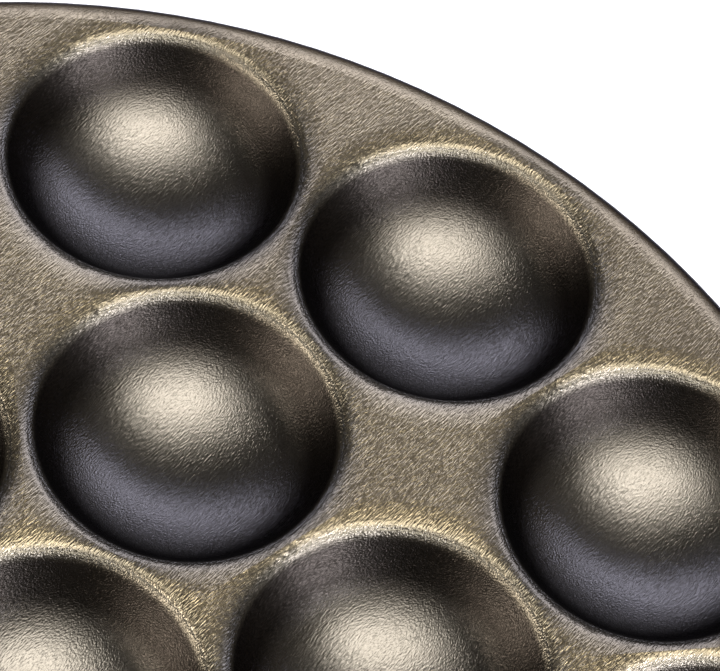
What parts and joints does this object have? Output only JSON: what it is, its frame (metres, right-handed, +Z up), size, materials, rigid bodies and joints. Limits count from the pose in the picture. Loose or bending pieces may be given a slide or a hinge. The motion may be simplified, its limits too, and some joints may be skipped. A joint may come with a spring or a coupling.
{
  "type": "donut maker",
  "caption": "Table-top electric donut-ball maker: round bronze-coated plate of ball cups on a black base with side handles and a temperature knob.",
  "frame": {"origin": "on the table under the middle of the baking plate", "axes": "+Z up from the table, -Y to the front with the knob, +X to the right handle"},
  "size_m": [0.3808, 0.2966, 0.085],
  "materials": {
    "plate_coating": "metallic bronze non-stick coating on cast aluminium, fine wrinkle",
    "element_steel": "annealed sheath",
    "ceramic": "unglazed",
    "plated_steel": "nickel plated",
    "shield_steel": "aluminised sheet",
    "screw_steel": "zinc plated",
    "insulator": "mica laminate",
    "shell_plastic": "fine moulded grain",
    "cover_steel": "powder coat",
    "foot_rubber": "matt",
    "panel_steel": "brushed",
    "knob_plastic": "satin",
    "pointer_white": "gloss",
    "copper": "drawn copper",
    "fuse_sleeve": "woven glass sleeve",
    "lens_red": "clear tinted",
    "lens_green": "clear tinted",
    "lamp_glass": "clear",
    "handle_plastic": "fine moulded grain",
    "inlet_plastic": "satin",
    "brass": "nickel-free brass"
  },
  "bodies": {
    "base": {"baking_plate": "plate_coating", "heating_element": "element_steel", "element_beads": "ceramic", "element_pins": "plated_steel", "heat_shield": "shield_steel", "shield_screws": "screw_steel", "plate_spacers": "insulator", "plate_screws": "screw_steel", "base_shell": "shell_plastic", "bottom_cover": "cover_steel", "rubber_feet": "foot_rubber", "foot_screws": "screw_steel", "control_panel": "panel_steel", "thermostat_body": "ceramic", "thermostat_terminals": "plated_steel", "thermostat_screws": "screw_steel", "thermostat_bulb": "copper", "capillary_tube": "copper", "bulb_clip": "shield_steel", "fuse_clip": "shield_steel", "clip_screws": "screw_steel", "thermal_fuse": "fuse_sleeve", "power_lamp_lens": "lens_red", "ready_lamp_lens": "lens_green", "lamp_clips": "shield_steel", "neon_lamps": "lamp_glass", "left_handle": "handle_plastic", "right_handle": "handle_plastic", "handle_screws": "screw_steel", "inlet_body": "inlet_plastic", "inlet_pins": "brass", "inlet_screws": "screw_steel"},
    "knob": {"temperature_knob": "knob_plastic", "knob_pointer": "pointer_white", "thermostat_shaft": "plated_steel"}
  },
  "joints": [
    {"name": "knob_turn", "type": "hinge", "parent": "base", "child": "knob", "pos_m": [0, -0.135, 0.036], "axis": [0, 1, 0], "range_deg": [0, 270]}
  ]
}
